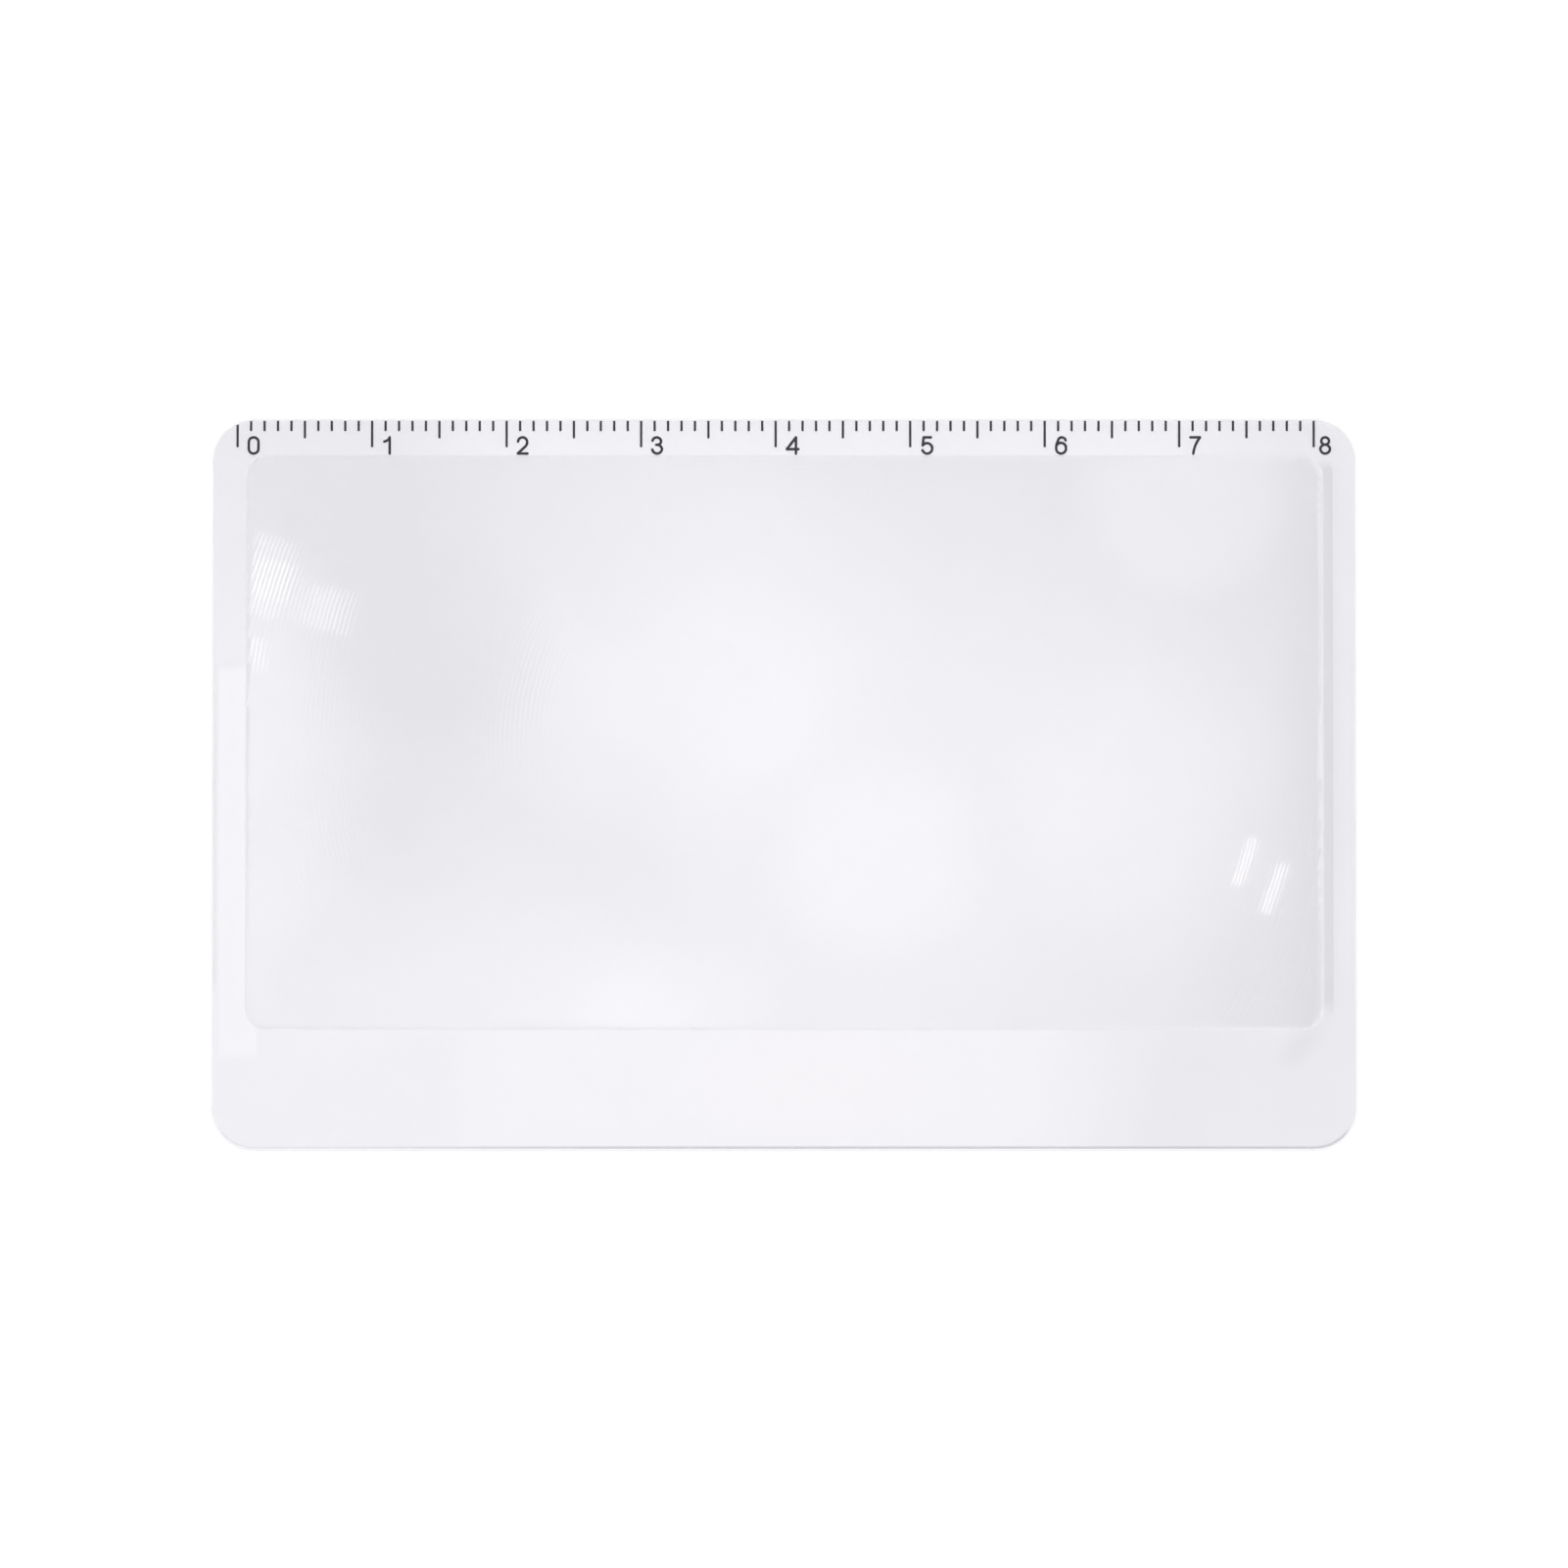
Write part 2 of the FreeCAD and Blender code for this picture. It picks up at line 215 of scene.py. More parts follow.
# The film is a closed grid of rows and columns: rows run from the middle over each facet and
# riser to the outline, down the leaning edge and back under the film to its middle; columns are
# directions. Height over the back is the crest less slope times distance into the ring, with the
# facet's middle raised by its crown, but never past the crest. Rows past the outline fold into
# the outline's point, and columns thin out where they crowd.
def makeLensFilm(name, low, high):
    halfLength, halfWidth = (high.x - low.x) / 2 / mm, (high.y - low.y) / 2 / mm
    crest = (high.z - low.z) / mm
    lean = math.tan(math.radians(film["edgeLean"]))
    pitch = film["pitch"]
    rings = math.ceil((math.hypot(halfLength, halfWidth) - film["discRadius"]) / pitch)
    inner = film["discRadius"] + pitch * np.arange(rings)
    slope = facetSlope(inner + pitch / 2)
    middleDrop = slope * pitch / 2
    ringRadius = np.stack([inner, inner + pitch / 2, inner + pitch], 1).ravel()
    ringHeight = np.stack([np.full(rings, crest), crest - middleDrop, crest - slope * pitch], 1).ravel()
    rowRadius = np.concatenate([[0, film["discRadius"] / 2], ringRadius])
    rowHeight = np.concatenate([[crest, crest], ringHeight])

    inset = lean * crest
    angles = columnAngles(halfLength - inset, halfWidth - inset, film["corner"] - inset, inner)
    columns = len(angles)
    topReach = outlineRadius(angles, halfLength - inset, halfWidth - inset, film["corner"] - inset)
    lastRow = np.searchsorted(rowRadius, topReach - grid["onRing"])
    share = (topReach - rowRadius[lastRow - 1]) / (rowRadius[lastRow] - rowRadius[lastRow - 1])
    edgeHeight = rowHeight[lastRow - 1] + share * (rowHeight[lastRow] - rowHeight[lastRow - 1])
    edgeInset = lean * edgeHeight
    edgeRadius = outlineRadius(angles, halfLength - edgeInset, halfWidth - edgeInset,
                               film["corner"] - edgeInset)
    footRadius = outlineRadius(angles, halfLength, halfWidth, film["corner"])

    # Rows of the whole grid: the grooved rows, the foot of the edge, the middle of the back
    topRows = len(rowRadius)
    crown = film["crown"] - film["crownShift"] * np.cos(angles)
    bulge = np.zeros((topRows, columns))
    bulge[3::3] = crown * pitch / 2
    row = np.minimum(np.arange(topRows)[:, None], lastRow[None, :])
    past = np.arange(topRows)[:, None] >= lastRow[None, :]
    radius = np.where(past, edgeRadius[None, :], rowRadius[:, None])
    height = np.where(past, edgeHeight[None, :], np.minimum(rowHeight[:, None] + bulge, crest))
    radius = np.vstack([radius, footRadius, np.zeros(columns)])
    height = np.vstack([height, np.zeros(columns), np.zeros(columns)])
    row = np.vstack([row, np.full(columns, topRows), np.full(columns, topRows + 1)])

    # Column of each grid point: every second, fourth or eighth one where the rest would crowd
    group = grid["group"]
    block = np.arange(columns) // group
    blockReach = np.minimum.reduceat(topReach, np.arange(0, columns, group))
    turn = np.diff(np.append(angles[::group], 2 * math.pi)) / group
    room = grid["cellWidth"] / np.maximum(rowRadius[:, None] * turn[None, :], nearlyNothing)
    keep = 2 ** np.clip(np.floor(np.log2(room)), 0, math.log2(group)).astype(int)
    keep[rowRadius[:, None] > blockReach[None, :] - grid["rimZone"]] = 1
    keep = np.vstack([keep, np.ones((2, keep.shape[1]), int)])[:, block]
    place = np.arange(columns)[None, :]
    column = place // group * group + place % group // keep * keep
    column[0], column[-1] = 0, 0

    key = row * columns + column
    used, points = np.unique(key, return_inverse=True)
    points = points.reshape(key.shape)
    usedRow, usedColumn = used // columns, used % columns
    across = radius[usedRow, usedColumn]
    middle = (low + high) / 2
    spots = np.stack([
        middle.x + across * np.cos(angles[usedColumn]) * mm,
        middle.y + across * np.sin(angles[usedColumn]) * mm,
        low.z + height[usedRow, usedColumn] * mm,
    ], 1)

    nearRow, farRow = points[:-1], points[1:]
    corners = [nearRow, farRow, np.roll(farRow, -1, 1), np.roll(nearRow, -1, 1)]
    triangles = np.concatenate([
        np.stack([corners[0], corners[1], corners[2]], -1).reshape(-1, 3),
        np.stack([corners[0], corners[2], corners[3]], -1).reshape(-1, 3),
    ])
    first, second, third = triangles.T
    whole = (first != second) & (second != third) & (first != third)
    triangles = triangles[whole]

    # Which finish a triangle wears: 0 facets and back, 1 risers between rings (every third band,
    # first after row 4), 2 the cut edge
    between = np.arange(topRows + 1)
    wear = np.where((between >= 4) & ((between - 4) % 3 == 0), 1, 0)
    wear[topRows - 1:] = 2, 0
    wear = np.tile(np.repeat(wear, columns), 2)[whole]

    mesh = bpy.data.meshes.new(name)
    mesh.from_pydata(spots, [], triangles)
    mesh.polygons.foreach_set("material_index", wear)
    mesh.shade_smooth()
    mesh.set_sharp_from_angle(angle=math.radians(grid["sharpFrom"]))
    made = bpy.data.objects.new(name, mesh)
    bpy.context.scene.collection.objects.link(made)
    print(name, "has", len(mesh.polygons), "triangles in", rings, "rings and", columns, "columns")
    return made


lensLow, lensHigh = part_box("fresnel_lens")
filmThickness = lensHigh.z - lensLow.z
lensFilm = makeLensFilm("lens_film", lensLow, lensHigh)
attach(lensFilm, "root")
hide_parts("fresnel_lens")


# Clear plastic

# The card's plastic: tint is what it does to white light that passes both faces, then the tone of
# the painted shade on the dull rims, which stands in for their weaker reflection, and how much of that
# shade is painted in; shadow is what a shadow ray keeps. Roughness runs from polished to dulled, in
# clouds that never fall below cloudLeast, and polishFade is the way in under the film where the
# dullness starts. wall is the frosted cut edge and its inset.
clearCard = dict(tint=(0.830, 0.824, 0.850, 1), dullShadeTone=(0.70, 0.695, 0.735, 1), index=1.53,
                 polished=0.05, dulled=0.26, dullShadeShare=0.5, cloudScale=90.0, cloudLow=0.3,
                 cloudHigh=0.7, cloudLeast=0.75, polishFade=0.06,
                 shadow=(0.95, 0.95, 0.955, 1), wall=(0.90, 0.90, 0.92, 1), wallFrom=-0.13, wallFull=-0.06)
# The film's plastic: waves is the depth of its unevenness, through what light keeps that passes
# unbent, dusty the same where dust lies; the cut edge has a frost from crestFrom of its height
# up, full at crestFull. A face below bondHigh is bonded to the card, and bondLow starts that.
clearFilm = dict(tint=(0.795, 0.782, 0.826, 1), index=1.53, roughness=0.05, shadow=(1.0, 1.0, 1.0, 1),
                 edgeTone=(0.95, 0.95, 0.96, 1), edgeFrost=0.03, crestFrom=0.5, crestFull=0.7, waves=0.008,
                 waveScale=110.0, dustScale=900.0, dustLow=0.45, dustHigh=0.75, bondLow=0.0001,
                 bondHigh=0.0003, through=(0.891, 0.884, 0.908, 1), dusty=(0.868, 0.863, 0.888, 1))
# Painted highlights: stretches of the film's edge given extra frost so they read as light lines:
# x from, x to, y from, y to, fades, extra frost
paintedEdgeHighlights = ((-40.2, -38.5, 4.0, 24.3, 1.5, 1.5, 0.42), (-39.0, -24.0, 24.0, 25.5, 1.0, 1.0, 0.42),
              (39.0, 40.2, -16.5, 22.0, 2.0, 1.0, 0.15))
# Painted shade near the film's right edge, where a bowed film would look darker; the film's shape
# has no bow: x from, x to, y from, y to, fades, share of its tone lost
paintedBowShade = (37.5, 45.0, -20.0, 26.0, 4.5, 4.5, 0.075)
# Where the card's rims are still polished, and so free of the painted shade of the dull rims:
# x from, x to, y from, y to, fades, how polished
polishedUnshadedRims = ((-42.05, -39.0, -20.9, 9.0, 0.6, 2.0, 1.0), (-42.3, -39.0, 4.0, 15.0, 1.2, 12.0, 0.45),
                (-26.5, 22.5, -30.0, -15.0, 15.0, 11.0, 1.0), (-45.0, -20.0, -30.0, -15.0, 2.0, 2.0, 0.6),
                (-24.0, 33.0, 20.0, 30.0, 14.0, 14.0, 0.7))
# Painted shade: a dark band outside the film's right edge, standing in for light bent away there,
# with no crease in the card's shape: its width and its softer tail's, the tail's share, its tone,
# where it begins and ends across the card, and how softly it does so
rightEdgeShade = dict(core=0.72, tail=1.75, tailShare=0.28, fade=0.14, tone=(0.655, 0.648, 0.680, 1), fromX=39.0,
              lowY=-18.0, highY=24.6, fadeX=0.8, fadeLow=2.2, fadeHigh=1.0)
# Soft spots on the card, a paler pinker patch on the lower rim and a painted shade smear past the
# film's lower right corner: middle x and y, degrees turned, half length, half width, strength, tone;
# a spot is full up to spotCore of the way to its outline
spotCore = 0.2
spotsAndShadeSmear = ((2.0, -22.5, 0.0, 13.0, 6.0, 0.5, (0.875, 0.832, 0.862, 1)),
             (38.6, -19.4, 45.0, 3.6, 1.4, 0.32, (0.655, 0.648, 0.680, 1)))
# The card's corner radius, then a painted shade: the dark line just inside the card's lower cut edge,
# standing in for the shadow and refraction at that edge: how far in it starts and is full, its tone,
# up to where it runs, and the stretch over which it is fainter at the left
cutEdgeAndShade = dict(corner=3.18, width=0.40, full=0.14, tone=(0.50, 0.495, 0.535, 1), lowY=-26.6, highY=-25.6,
               faintX=-36.0, fullX=-10.0, faint=0.3)


# A wire that is 1 inside a box of two ranges and fades out over a distance in X and one in Y
def boxMask(recipe, place, fromX, toX, fromY, toY, fadeX, fadeY):
    x = recipe.node("ShaderNodeSeparateXYZ", None, {0: place}, "X")
    y = recipe.node("ShaderNodeSeparateXYZ", None, {0: place}, "Y")
    near = recipe.mapRange(x, (fromX - fadeX / 2) * mm, (fromX + fadeX / 2) * mm, 0, 1)
    far = recipe.mapRange(x, (toX - fadeX / 2) * mm, (toX + fadeX / 2) * mm, 1, 0)
    low = recipe.mapRange(y, (fromY - fadeY / 2) * mm, (fromY + fadeY / 2) * mm, 0, 1)
    high = recipe.mapRange(y, (toY - fadeY / 2) * mm, (toY + fadeY / 2) * mm, 1, 0)
    return near * far * (low * high)


# A wire that is 1 in the middle of a turned ellipse and fades to 0 at its outline: the point's
# offset, turned back and divided by the half sizes, has the length 1 on the outline
def spotMask(recipe, place, middleX, middleY, degrees, halfLength, halfWidth):
    offset = recipe.vector("SUBTRACT", place, (middleX * mm, middleY * mm, 0))
    turned = recipe.node("ShaderNodeVectorRotate", {"rotation_type": "Z_AXIS"},
                         {"Vector": offset, "Angle": -math.radians(degrees)})
    share = recipe.vector("MULTIPLY", turned, (1 / (halfLength * mm), 1 / (halfWidth * mm), 0))
    return recipe.mapRange(recipe.vector("LENGTH", share, output="Value"), spotCore, 1, 1, 0)


# Distance in metres outside a round-cornered rectangle, seen from above: how far a point lies
# past the corner circles' middles, less the corner's radius; below zero inside
def outlineDistance(recipe, place, low, high, corner):
    middle, half = (low + high) / 2, (high - low) / 2
    offset = recipe.vector("SUBTRACT", place, (middle.x, middle.y, 0))
    offset = recipe.vector("ABSOLUTE", offset)
    offset = recipe.vector("SUBTRACT", offset, (half.x - corner * mm, half.y - corner * mm, 1))
    offset = recipe.vector("MAXIMUM", offset, (0, 0, 0))
    return recipe.vector("LENGTH", offset, output="Value") - corner * mm


# Clear plastic that throws only a light shadow and is open where two pieces are bonded
def finishClear(recipe, plastic, shadow, bonded):
    paleShadow = recipe.node("ShaderNodeBsdfTransparent", None, {"Color": shadow})
    shadowRay = recipe.node("ShaderNodeLightPath", output="Is Shadow Ray")
    diffuseRay = recipe.node("ShaderNodeLightPath", output="Is Diffuse Ray")
    lightRay = shadowRay.math("MAXIMUM", shadowRay, diffuseRay)
    surface = recipe.blend(lightRay, plastic, paleShadow)
    if bonded:
        bond = recipe.node("ShaderNodeBsdfTransparent", None, {"Color": (1, 1, 1, 1)})
        surface = recipe.blend(bonded, surface, bond)
    recipe.node("ShaderNodeOutputMaterial", None, {"Surface": surface})


# A frosted cut: half of the light is thrown back and half let through, both softly
def frosted(recipe, tone):
    back = recipe.node("ShaderNodeBsdfDiffuse", None, {"Color": tone})
    through = recipe.node("ShaderNodeBsdfTranslucent", None, {"Color": tone})
    return recipe.blend(0.5, back, through)


def makeCardPlastic():
    material, recipe = newFinish("clear_card_plastic")
    place = recipe.node("ShaderNodeTexCoord", output="Object")
    height = recipe.node("ShaderNodeSeparateXYZ", None, {0: place}, "Z")
    x = recipe.node("ShaderNodeSeparateXYZ", None, {0: place}, "X")
    y = recipe.node("ShaderNodeSeparateXYZ", None, {0: place}, "Y")
    pastFilm = outlineDistance(recipe, place, lensLow, lensHigh, film["corner"])
    pastCard = outlineDistance(recipe, place, cadLow, cadHigh, cutEdgeAndShade["corner"])

    # The rims are handled and dull, apart from the stretches that are still polished; the dull rims
    # are also painted darker, a painted shade for their weaker reflection
    polished = 0
    for *box, share in polishedUnshadedRims:
        stretch = boxMask(recipe, place, *box) * share
        polished = stretch.math("MAXIMUM", stretch, polished)
    outside = recipe.mapRange(pastFilm, -clearCard["polishFade"] * mm, 0.0, 0, 1)
    cloud = recipe.node("ShaderNodeTexNoise", None,
                        {"Vector": place, "Scale": clearCard["cloudScale"], "Detail": 2.0})
    cloud = recipe.mapRange(cloud, clearCard["cloudLow"], clearCard["cloudHigh"],
                            clearCard["cloudLeast"], 1.0, "LINEAR")
    dullAndShaded = (1 - polished) * outside * cloud
    roughness = recipe.mapRange(dullAndShaded, 0, 1, clearCard["polished"], clearCard["dulled"], "LINEAR")

    # Painted shade of the dark band: a dark core with a softer tail, along the film's right edge only
    core = recipe.mapRange(pastFilm, rightEdgeShade["core"] * mm, (rightEdgeShade["core"] + rightEdgeShade["fade"]) * mm, 1, 0)
    tail = recipe.mapRange(pastFilm, rightEdgeShade["core"] * mm, rightEdgeShade["tail"] * mm, rightEdgeShade["tailShare"], 0)
    rightEdgeShadeMask = core.math("MAXIMUM", core, tail) * recipe.mapRange(pastFilm, 0.0, rightEdgeShade["fade"] * mm, 0, 1)
    innerX, lowY, highY = rightEdgeShade["fromX"] * mm, rightEdgeShade["lowY"] * mm, rightEdgeShade["highY"] * mm
    rightEdgeShadeMask = rightEdgeShadeMask * recipe.mapRange(x, innerX, innerX + rightEdgeShade["fadeX"] * mm, 0, 1)
    rightEdgeShadeMask = rightEdgeShadeMask * recipe.mapRange(y, lowY, lowY + rightEdgeShade["fadeLow"] * mm, 0, 1)
    rightEdgeShadeMask = rightEdgeShadeMask * recipe.mapRange(y, highY - rightEdgeShade["fadeHigh"] * mm, highY, 1, 0)

    # Painted shade: the dark line of the cut edge runs along the lower side, fainter towards its left end
    edgeShadeMask = recipe.mapRange(pastCard, -cutEdgeAndShade["width"] * mm, -cutEdgeAndShade["full"] * mm, 0, 1)
    lower = recipe.mapRange(y, cutEdgeAndShade["lowY"] * mm, cutEdgeAndShade["highY"] * mm, 1, 0)
    lower = lower * recipe.mapRange(x, cutEdgeAndShade["faintX"] * mm, cutEdgeAndShade["fullX"] * mm, cutEdgeAndShade["faint"], 1)
    # Painted shade: the dull rims get a darker tone that stands in for their weaker reflection
    tone = recipe.tint(dullAndShaded * clearCard["dullShadeShare"], clearCard["tint"], clearCard["dullShadeTone"])
    # The second spot is painted shade, a dark smear that carries the dark band round the film's corner
    for *spot, share, spotTone in spotsAndShadeSmear:
        tone = recipe.tint(spotMask(recipe, place, *spot) * share, tone, spotTone)
    # Painted shade: the dark band is mixed into the card's tone
    tone = recipe.tint(rightEdgeShadeMask, tone, rightEdgeShade["tone"])
    # Painted shade along the lower cut edge
    tone = recipe.tint(edgeShadeMask * lower, tone, cutEdgeAndShade["tone"])

    plastic = recipe.node("ShaderNodeBsdfPrincipled", None, {
        "Base Color": tone, "Roughness": roughness, "IOR": clearCard["index"], "Transmission Weight": 1.0,
    })
    wall = recipe.mapRange(pastCard, clearCard["wallFrom"] * mm, clearCard["wallFull"] * mm, 0, 1)
    plastic = recipe.blend(wall, plastic, frosted(recipe, clearCard["wall"]))
    bonded = pastFilm.math("LESS_THAN", pastFilm, 0.0)
    bonded = bonded * height.math("GREATER_THAN", height, lensLow.z - clearFilm["bondHigh"] * mm)
    finishClear(recipe, plastic, clearCard["shadow"], bonded)
    return material


# Two wires: 1 for a ray that has passed into the plastic, 1 for a ray thrown back before that
def rayStages(recipe):
    depth = recipe.node("ShaderNodeLightPath", output="Transmission Depth")
    inside = depth.math("GREATER_THAN", depth, 0.5)
    return inside, recipe.node("ShaderNodeLightPath", output="Is Glossy Ray") * (1 - inside)


# The film's facets, and its flat back, which is bonded to the card
def makeFilmPlastic():
    material, recipe = newFinish("clear_film_plastic")
    place = recipe.node("ShaderNodeTexCoord", output="Object")
    height = recipe.node("ShaderNodeSeparateXYZ", None, {0: place}, "Z")
    # Painted shade: the film's tone darkens towards its right edge
    *box, share = paintedBowShade
    tone = recipe.tint(boxMask(recipe, place, *box), clearFilm["tint"],
                       tuple(v * (1 - share) for v in clearFilm["tint"][:3]) + (1,))
    waves = recipe.node("ShaderNodeTexNoise", None,
                        {"Vector": place, "Scale": clearFilm["waveScale"], "Detail": 2.0})
    uneven = recipe.node("ShaderNodeBump", None, {"Height": waves, "Strength": 1.0,
                                                  "Distance": clearFilm["waves"] * mm})
    plastic = recipe.node("ShaderNodeBsdfPrincipled", None, {
        "Base Color": tone, "Roughness": clearFilm["roughness"], "IOR": clearFilm["index"],
        "Transmission Weight": 1.0, "Normal": uneven,
    })
    bondLow, bondHigh = lensLow.z + clearFilm["bondLow"] * mm, lensLow.z + clearFilm["bondHigh"] * mm
    bonded = recipe.mapRange(height, bondLow, bondHigh, 1, 0, "LINEAR")

    # A ray meets the grooves once: what a facet throws back runs straight over the next ring, and
    # what it lets in isn't bent a second time where it comes out at a riser
    inside, thrown = rayStages(recipe)
    again = inside * (1 - recipe.node("ShaderNodeNewGeometry", output="Backfacing")) + thrown
    finishClear(recipe, plastic, clearFilm["shadow"], bonded.math("MAXIMUM", bonded, again))
    return material


# The film's tint for light that passes it unbent: as much as one facet takes away, a little dusty
def tintedThrough(recipe, place):
    dust = recipe.node("ShaderNodeTexNoise", None,
                       {"Vector": place, "Scale": clearFilm["dustScale"], "Detail": 2.0})
    dust = recipe.mapRange(dust, clearFilm["dustLow"], clearFilm["dustHigh"], 0, 1)
    tone = recipe.tint(dust, clearFilm["through"], clearFilm["dusty"])
    return recipe.node("ShaderNodeBsdfTransparent", None, {"Color": tone})


# The risers are too fine and steep to be seen apart, so light passes straight through them
def makeRiserPlastic():
    material, recipe = newFinish("clear_film_risers")
    place = recipe.node("ShaderNodeTexCoord", output="Object")
    inside, thrown = rayStages(recipe)
    clear = recipe.node("ShaderNodeBsdfTransparent", None, {"Color": (1, 1, 1, 1)})
    plastic = recipe.blend(inside + thrown, tintedThrough(recipe, place), clear)
    finishClear(recipe, plastic, clearFilm["shadow"], None)
    return material


# The film's leaning edge is almost clear, with a little frost, and more frost in places as painted
# highlights
def makeFilmEdge():
    material, recipe = newFinish("film_edge")
    place = recipe.node("ShaderNodeTexCoord", output="Object")
    frost = clearFilm["edgeFrost"]
    # Painted highlights: extra frost where the edge shows light lines
    for *box, share in paintedEdgeHighlights:
        frost = boxMask(recipe, place, *box) * share + frost
    height = recipe.node("ShaderNodeSeparateXYZ", None, {0: place}, "Z")
    crestLow = lensLow.z + clearFilm["crestFrom"] * filmThickness
    crestHigh = lensLow.z + clearFilm["crestFull"] * filmThickness
    frost = recipe.mapRange(height, crestLow, crestHigh, 0, 1) * frost
    edge = recipe.blend(frost, tintedThrough(recipe, place), frosted(recipe, clearFilm["edgeTone"]))
    finishClear(recipe, edge, clearFilm["shadow"], None)
    return material


cardPlastic = makeCardPlastic()
filmFinishes = [makeFilmPlastic(), makeRiserPlastic(), makeFilmEdge()]
print("clear plastics made:", cardPlastic.name, [finish.name for finish in filmFinishes])


# Ruler ink

# The print's tone wanders between pale and dark with a fine grain
ink = dict(pale=(0.036, 0.036, 0.039, 1), dark=(0.018, 0.018, 0.020, 1), roughness=0.55, gloss=0.25,
           index=1.45, grain=2500.0, shadow=(0.9, 0.9, 0.9, 1))


def makeInk():
    material, recipe = newFinish("ruler_ink_print")
    place = recipe.node("ShaderNodeTexCoord", output="Object")
    grain = recipe.node("ShaderNodeTexNoise", None, {"Vector": place, "Scale": ink["grain"], "Detail": 3.0})
    tone = recipe.tint(grain, ink["dark"], ink["pale"])
    inked = recipe.node("ShaderNodeBsdfPrincipled", None, {
        "Base Color": tone, "Roughness": ink["roughness"], "IOR": ink["index"],
        "Specular IOR Level": ink["gloss"],
    })
    finishClear(recipe, inked, ink["shadow"], None)
    return material


inkPrint = makeInk()
print("ink made:", inkPrint.name)


# What each piece wears

def dress(piece, *materials):
    piece.data.materials.clear()
    for material in materials:
        piece.data.materials.append(material)


for finish in filmFinishes:
    lensFilm.data.materials.append(finish)
for name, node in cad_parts.items():
    if name == "fresnel_lens":
        continue
    dress(node, cardPlastic if name == "card_sheet" else inkPrint)
print("dressed", len(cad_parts), "nodes")


# Floor and light

# drop is how far the floor lies below the card's back
floor = dict(halfSide=4000.0, drop=0.05, tone=(0.80, 0.80, 0.80, 1), glow=0.022)
# The sky's least level, the backdrop's level, and the heights (sine of the angle above the
# horizon) at which the backdrop is full and gone
studio = dict(dim=0.05, backdrop=1.0, backdropFull=0.46, backdropTop=0.60)
# Soft lights in the sky of the studio: degrees from the card's mirror direction towards +X and
# +Y, how far they reach (degrees) and how bright their middle is; then a dark flag, with the
# share of the light that it takes away
softLights = ((12, -9, 48, 1.6), (-5, 5, 13, 0.5), (-54, 3, 23, 2.4), (-31, -38, 32, 2.4),
              (-25, 2, 16, 0.6), (32, 26, 10, 1.2), (-9, 12, 25, 0.8), (-9, -27, 12, 0.8),
              (8.5, -10.5, 12, 0.8), (32, -5, 16, 0.5))
darkFlag = (-30, 11, 12, 0.8)


# The floor adds its own white for what the camera sees, straight or through gloss and clear
# plastic, so it reads as white paper at plain lamp levels and still takes the card's shadow
def makeFloor():
    side, depth = floor["halfSide"] * mm, -floor["drop"] * mm
    mesh = bpy.data.meshes.new("studio_floor")
    corners = [(-side, -side, depth), (side, -side, depth), (side, side, depth), (-side, side, depth)]
    mesh.from_pydata(corners, [], [(0, 1, 2, 3)])
    made = bpy.data.objects.new("studio_floor", mesh)
    bpy.context.scene.collection.objects.link(made)
    material, recipe = newFinish("floor_paper")
    rays = recipe.node("ShaderNodeLightPath", output="Is Camera Ray")
    for kind in ("Is Glossy Ray", "Is Transmission Ray"):
        rays = rays.math("MAXIMUM", rays, recipe.node("ShaderNodeLightPath", output=kind))
    paper = recipe.node("ShaderNodeBsdfDiffuse", None, {"Color": floor["tone"]})
    glow = recipe.node("ShaderNodeEmission", None, {"Strength": floor["glow"]})
    glowing = recipe.node("ShaderNodeAddShader", None, {0: paper, 1: glow})
    recipe.node("ShaderNodeOutputMaterial", None, {"Surface": recipe.blend(rays, paper, glowing)})
    dress(made, material)


# Direction that a level mirror on the card shows the camera
mirrored = Vector((-eye.x, -eye.y, eye.z)).normalized()


# Turns the mirrored direction by degrees towards +X and +Y
def offMirror(towardsX, towardsY):
    side, up = math.radians(towardsX), math.radians(towardsY)
    lean = math.atan2(mirrored.y, mirrored.z) + up
    return Vector((math.sin(side), math.cos(side) * math.sin(lean), math.cos(side) * math.cos(lean)))


# A soft studio: wide soft lights above the card and a white backdrop near the horizon
def makeWorld():
    world = bpy.data.worlds.new("soft_studio")
    bpy.context.scene.world = world
    world.use_nodes = True
    recipe = Recipe(world.node_tree)
    direction = recipe.node("ShaderNodeTexCoord", output="Generated")

    def lobe(towardsX, towardsY, reach, strength):
        near = recipe.vector("DOT_PRODUCT", direction, offMirror(towardsX, towardsY), output="Value")
        return recipe.mapRange(near, math.cos(math.radians(reach)), 1, 0, strength, "SMOOTHERSTEP")

    lit = sum(lobe(*light) for light in softLights)
    lit = lit * (1 - lobe(*darkFlag)) + studio["dim"]
    climb = recipe.node("ShaderNodeSeparateXYZ", None, {0: direction}, "Z")
    backdrop = recipe.mapRange(climb, studio["backdropFull"], studio["backdropTop"], 1, 0)
    lit = lit * (1 - backdrop) + backdrop * studio["backdrop"]
    seen = recipe.node("ShaderNodeLightPath", output="Is Camera Ray")
    strength = lit * (1 - seen) + seen * studio["backdrop"]
    shade = recipe.node("ShaderNodeBackground", None, {"Color": (1, 1, 1, 1), "Strength": strength})
    recipe.node("ShaderNodeOutputWorld", None, {"Surface": shade})


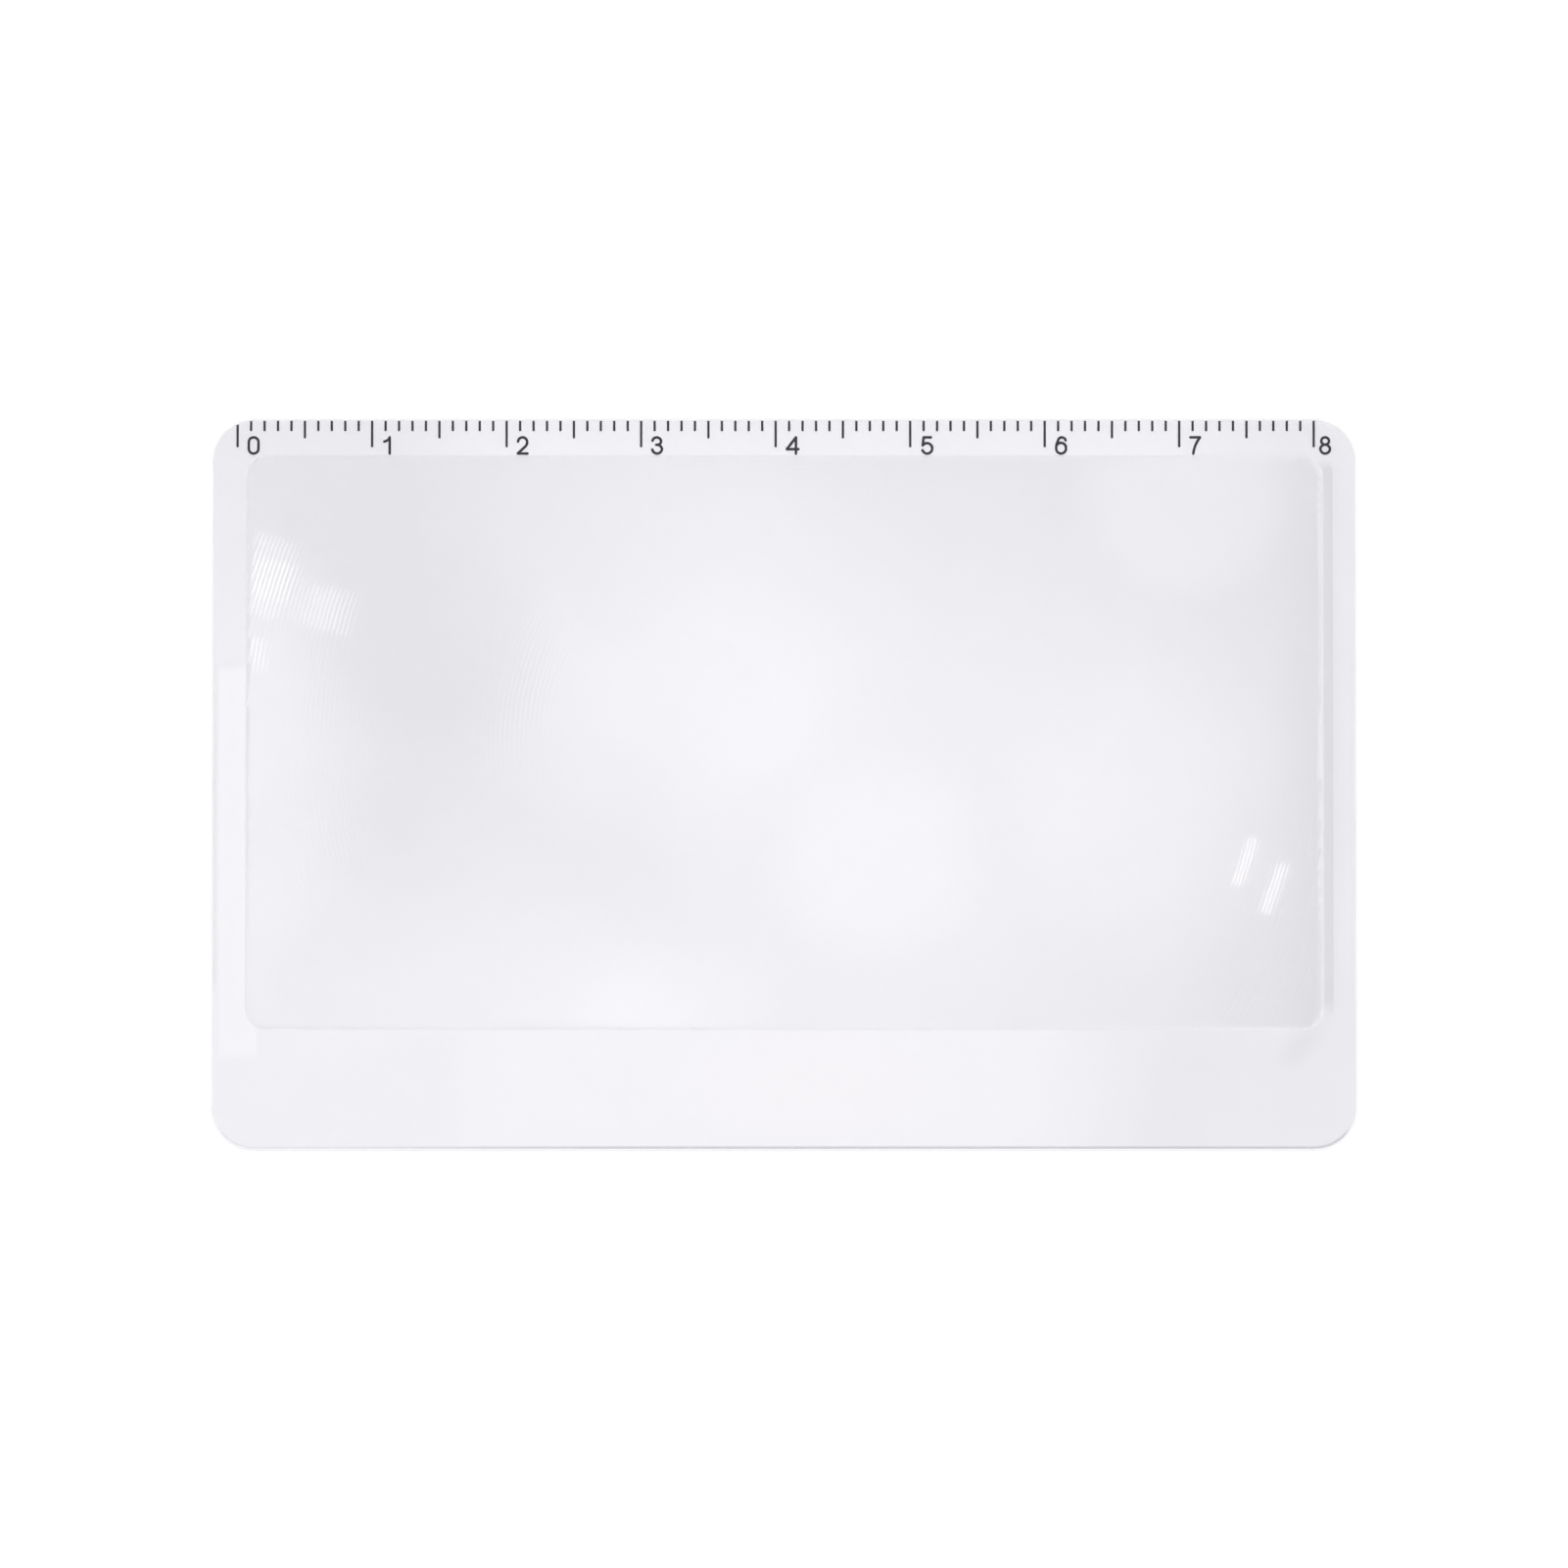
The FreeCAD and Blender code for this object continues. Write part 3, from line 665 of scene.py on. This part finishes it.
# A rectangular lamp at a distance in a direction from a point, which it faces; side is where its
# first edge runs, and radiance is how bright it looks in a mirror
def makeLamp(name, point, direction, distance, side, width, depth, radiance, tone):
    data = bpy.data.lights.new(name, "AREA")
    data.shape, data.size, data.size_y = "RECTANGLE", width, depth
    data.energy = radiance * math.pi * width * depth
    data.color = tone
    made = bpy.data.objects.new(name, data)
    bpy.context.scene.collection.objects.link(made)
    direction = direction.normalized()
    side = (side - direction * side.dot(direction)).normalized()
    turned = Matrix((side, direction.cross(side), direction)).transposed()
    made.matrix_world = Matrix.Translation(point + direction * distance) @ turned.to_4x4()
    made.visible_camera = False


# Lamps that the grooves show as lit lines: radius and azimuth (degrees) of the lit grooves about
# the lens's middle, the lamp's width along the ring's radius and round it (degrees as seen from
# the card), its radiance and its colour; they stand lampDistance metres away
lampDistance = 0.5
glints = dict(
    windowGlint=(40.4, 162.0, 1.7, 6.6, 2.8, (1.0, 0.98, 1.0)),
    windowCore=(39.8, 162.2, 1.5, 3.4, 3.4, (1.0, 0.88, 0.66)),
    windowTail=(35.5, 163.5, 2.5, 3.8, 2.6, (1.0, 1.0, 0.97)),
    lowGlint=(40.6, 170.4, 1.0, 3.0, 4.0, (1.0, 1.0, 0.98)),
    rightGlint=(38.0, -16.9, 0.7, 4.4, 5.2, (1.0, 1.0, 1.0)),
    rightStreak=(35.4, -14.8, 0.35, 4.4, 10.0, (1.0, 0.93, 0.88)),
)


# Where a lamp has to be for the grooves at that place to show it to the camera: the facet leans
# outwards by its slope, and the way to the lamp is the mirrored way to the camera
def makeGlint(name, radius, azimuth, across, along, radiance, tone):
    turn = math.radians(azimuth)
    middle = (lensLow + lensHigh) / 2
    outward = Vector((math.cos(turn), math.sin(turn), 0))
    point = Vector((middle.x, middle.y, lensHigh.z)) + outward * radius * mm
    lean = math.atan(float(facetSlope(radius)))
    normal = outward * math.sin(lean) + Vector((0, 0, math.cos(lean)))
    toEye = (eye - point).normalized()
    direction = 2 * normal.dot(toEye) * normal - toEye
    width = 2 * lampDistance * math.tan(math.radians(across / 2))
    depth = 2 * lampDistance * math.tan(math.radians(along / 2))
    makeLamp(name, point, direction, lampDistance, outward, width, depth, radiance, tone)


makeFloor()
makeWorld()
for name, values in glints.items():
    makeGlint(name, *values)
print("floor, sky and", len(glints), "lamps placed")
